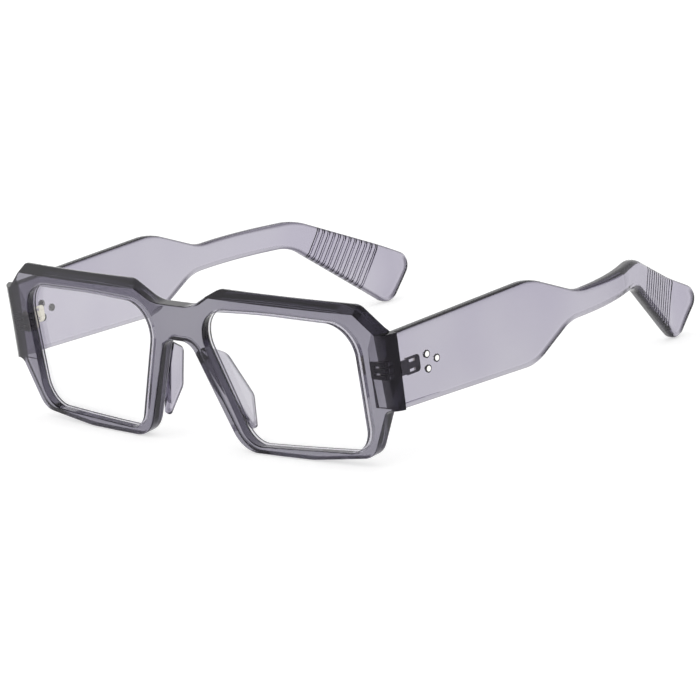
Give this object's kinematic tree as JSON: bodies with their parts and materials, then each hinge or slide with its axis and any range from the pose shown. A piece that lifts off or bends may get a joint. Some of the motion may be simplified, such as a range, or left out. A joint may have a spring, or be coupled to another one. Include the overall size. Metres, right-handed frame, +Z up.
{
  "type": "square eyeglasses",
  "caption": "Square eyeglasses with a thick clear grey acetate frame, plain lenses and broad folding temples with grooved, down-turned tips.",
  "frame": {"origin": "on the table, under the middle of the frame's length and width", "axes": "+X across the face towards the wearer's left (the side nearer the camera), +Y back along the open temples, +Z up from the table"},
  "size_m": [0.1542, 0.1434, 0.0453],
  "materials": {
    "acetate": "polished clear grey cellulose acetate",
    "pad_acetate": "polished clear grey cellulose acetate",
    "lens": "clear plastic demonstration lens",
    "hinge_metal": "satin nickel silver",
    "screw_metal": "plain steel",
    "rivet_metal": "polished nickel silver"
  },
  "bodies": {
    "front": {"front_frame": "acetate", "lens_left": "lens", "lens_right": "lens", "nose_pad_left": "pad_acetate", "nose_pad_right": "pad_acetate", "hinge_front_leaf_left": "hinge_metal", "hinge_front_leaf_right": "hinge_metal", "hinge_screw_left": "screw_metal", "hinge_screw_right": "screw_metal"},
    "temple_left": {"temple_left": "acetate", "hinge_temple_leaf_left": "hinge_metal", "temple_rivets_left": "rivet_metal"},
    "temple_right": {"temple_right": "acetate", "hinge_temple_leaf_right": "hinge_metal", "temple_rivets_right": "rivet_metal"}
  },
  "joints": [
    {"name": "temple_fold_right", "type": "hinge", "parent": "front", "child": "temple_right", "pos_m": [0.0702, -0.06062, 0.02678], "axis": [0, 0, 1], "range_deg": [0, 66]},
    {"name": "temple_fold_left", "type": "hinge", "parent": "front", "child": "temple_left", "pos_m": [-0.0702, -0.06062, 0.02678], "axis": [0, 0, -1], "range_deg": [0, 82]}
  ]
}
